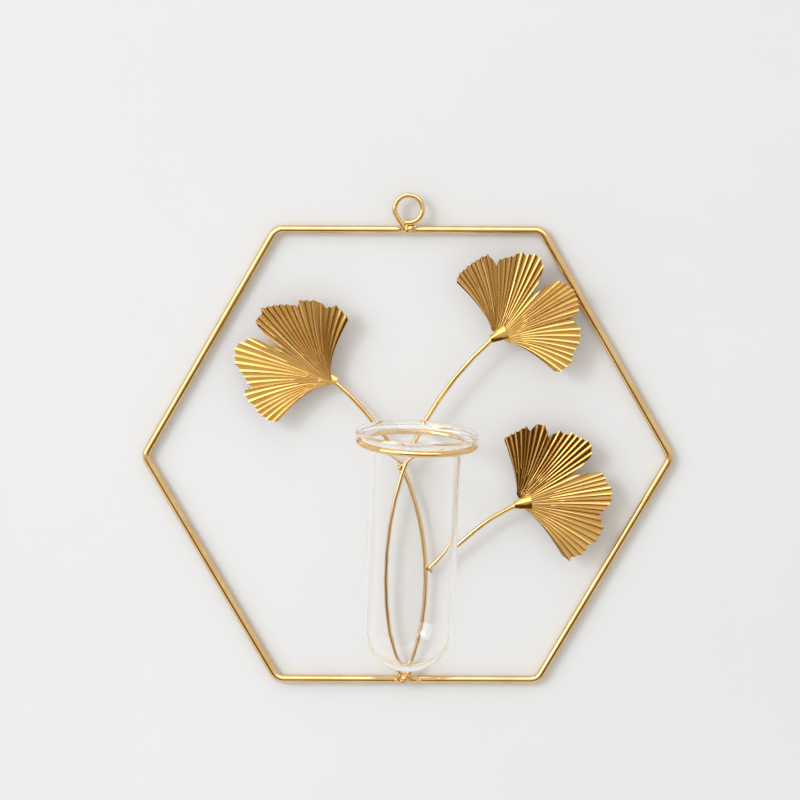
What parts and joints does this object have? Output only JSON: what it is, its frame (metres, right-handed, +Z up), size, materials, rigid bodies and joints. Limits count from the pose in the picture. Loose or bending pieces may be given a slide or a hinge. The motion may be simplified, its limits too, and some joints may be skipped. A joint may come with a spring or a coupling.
{
  "type": "wall-mounted hydroponic vase",
  "caption": "Wall-hung propagation vase: a clear glass tube in a wire ring, on a hexagonal metal wire frame with thin stems and stamped fan-shaped leaves.",
  "frame": {"origin": "middle of the hanging eye, in the plane of its wire", "axes": "+X to the right as the vase hangs, +Y into the wall, +Z up"},
  "size_m": [0.2576, 0.0697, 0.2419],
  "materials": {
    "frame_wire": "gold lacquer on steel wire, satin gloss",
    "stem_wire": "gold lacquer on steel wire, satin gloss",
    "ring_wire": "gold lacquer on steel wire, satin gloss",
    "leaf_sheet": "gold lacquer on stamped steel sheet, satin",
    "weld": "gold lacquer over rough weld",
    "clear_glass": "clear, polished"
  },
  "bodies": {
    "hanger": {"hexagon_frame": "frame_wire", "closing_weld": "weld", "hanging_eye": "frame_wire", "eye_weld": "weld", "left_stem": "stem_wire", "upper_stem": "stem_wire", "branch_stem": "stem_wire", "base_weld": "weld", "crossing_weld": "weld", "branch_weld": "weld", "tube_ring": "ring_wire", "ring_weld": "weld", "left_leaf": "leaf_sheet", "upper_leaf": "leaf_sheet", "lower_leaf": "leaf_sheet"},
    "glass_tube": {"glass_tube": "clear_glass"}
  },
  "joints": [
    {"name": "tube_lift", "type": "slide", "parent": "hanger", "child": "glass_tube", "axis": [0.0419, -0.0332, 0.9986], "range_m": [0, 0.125]}
  ]
}
